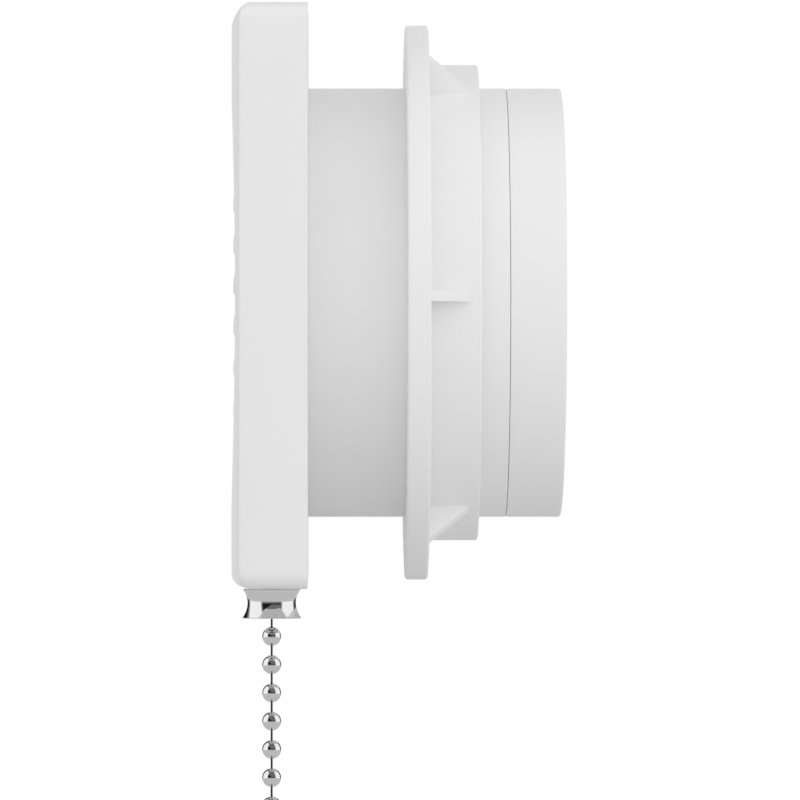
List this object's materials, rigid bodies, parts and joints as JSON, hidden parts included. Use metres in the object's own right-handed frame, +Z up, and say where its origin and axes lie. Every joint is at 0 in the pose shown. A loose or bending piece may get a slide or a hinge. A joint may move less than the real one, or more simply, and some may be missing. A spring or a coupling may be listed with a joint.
{
  "type": "square wall fan with pull-cord switch",
  "caption": "Square-fronted axial wall fan with a louvred cover, a round duct tube, a ribbed sliding clamp flange, non-return flaps and a ball-chain pull switch in the lower corner.",
  "frame": {"origin": "on the duct axis in the wall plane, at the centre of the four wall screws", "axes": "+Y along the duct away from the room, +Z up, +X to the right as seen from the room"},
  "size_m": [0.131, 0.0759, 0.2935],
  "materials": {
    "gloss_white": "gloss white moulded plastic",
    "satin_white": "satin white moulded plastic",
    "steel": "zinc-plated steel",
    "spring_steel": "bright spring wire",
    "rotor_metal": "cast rotor cage",
    "cast_metal": "die-cast bridge",
    "lamination": "stacked electrical steel",
    "copper": "enamelled copper wire",
    "brass": "brass",
    "chrome": "polished chrome plate",
    "nylon": "natural nylon",
    "switch_plastic": "moulded switch body",
    "rubber": "black rubber",
    "wire_brown": "brown insulation",
    "wire_blue": "blue insulation"
  },
  "bodies": {
    "housing": {"back_plate": "satin_white", "block_screw": "steel", "bridge_spacers": "steel", "cable_clamp": "nylon", "cable_clamp_screws": "steel", "cable_grommet": "rubber", "cam_axle": "steel", "chain_ferrule": "chrome", "coil_bobbins": "nylon", "damper_pin": "steel", "drum_axle": "steel", "drum_spring": "spring_steel", "duct_tube": "satin_white", "ferrule_nut": "brass", "front_bridge": "cast_metal", "front_bush": "brass", "front_cover": "gloss_white", "front_grille": "gloss_white", "lid_screws": "steel", "motor_cap": "satin_white", "motor_carrier": "satin_white", "motor_screws": "steel", "neutral_lead": "wire_blue", "rear_bridge": "cast_metal", "rear_bush": "brass", "rear_ring": "satin_white", "stator_core": "lamination", "supply_lead": "wire_brown", "switch_case": "switch_plastic", "switch_contacts": "brass", "switch_lid": "switch_plastic", "switched_lead": "wire_brown", "terminal_block": "switch_plastic", "terminal_clamps": "brass", "terminal_screws": "steel", "windings": "copper"},
    "impeller_group": {"impeller": "satin_white", "impeller_nut": "steel", "shaft": "steel", "rotor": "rotor_metal", "thrust_washers": "nylon"},
    "flap_right": {"damper_flap_right": "satin_white", "damper_spring_upper": "spring_steel"},
    "flap_left": {"damper_flap_left": "satin_white", "damper_spring_lower": "spring_steel"},
    "clamp_ring": {"clamp_flange": "satin_white"},
    "chain": {"pull_chain": "chrome", "chain_knob": "gloss_white"},
    "drum": {"pull_drum": "nylon"},
    "cam": {"contact_cam": "nylon"}
  },
  "joints": [
    {"name": "impeller_spin", "type": "hinge", "parent": "housing", "child": "impeller_group", "pos_m": [0, 0.0248, 0], "axis": [0, 1, 0], "continuous": true},
    {"name": "flap_right_open", "type": "hinge", "parent": "housing", "child": "flap_right", "pos_m": [0, 0.05115, 0], "axis": [0, 0, 1], "range_deg": [0, 80], "stiffness_Nm_per_rad": 0.001, "springref_deg": -17.19},
    {"name": "flap_left_open", "type": "hinge", "parent": "housing", "child": "flap_left", "pos_m": [0, 0.05115, 0], "axis": [0, 0, -1], "range_deg": [0, 80], "stiffness_Nm_per_rad": 0.001, "springref_deg": -17.19},
    {"name": "clamp_slide", "type": "slide", "parent": "housing", "child": "clamp_ring", "axis": [0, 1, 0], "range_m": [-0.0218, 0.0185]},
    {"name": "chain_pull", "type": "slide", "parent": "housing", "child": "chain", "axis": [0, 0, -1], "range_m": [0, 0.008], "stiffness_N_per_m": 400, "springref_m": -0.005},
    {"name": "drum_turn", "type": "hinge", "parent": "housing", "child": "drum", "pos_m": [0.043, -0.0082, -0.0505], "axis": [0, 1, 0], "range_deg": [0, 66]},
    {"name": "cam_index", "type": "hinge", "parent": "housing", "child": "cam", "pos_m": [0.055, -0.0075, -0.047], "axis": [0, 1, 0], "continuous": true}
  ],
  "couplings": [
    {"joint": "drum_turn", "follows": "chain_pull", "rad_per_m": 142.86}
  ]
}
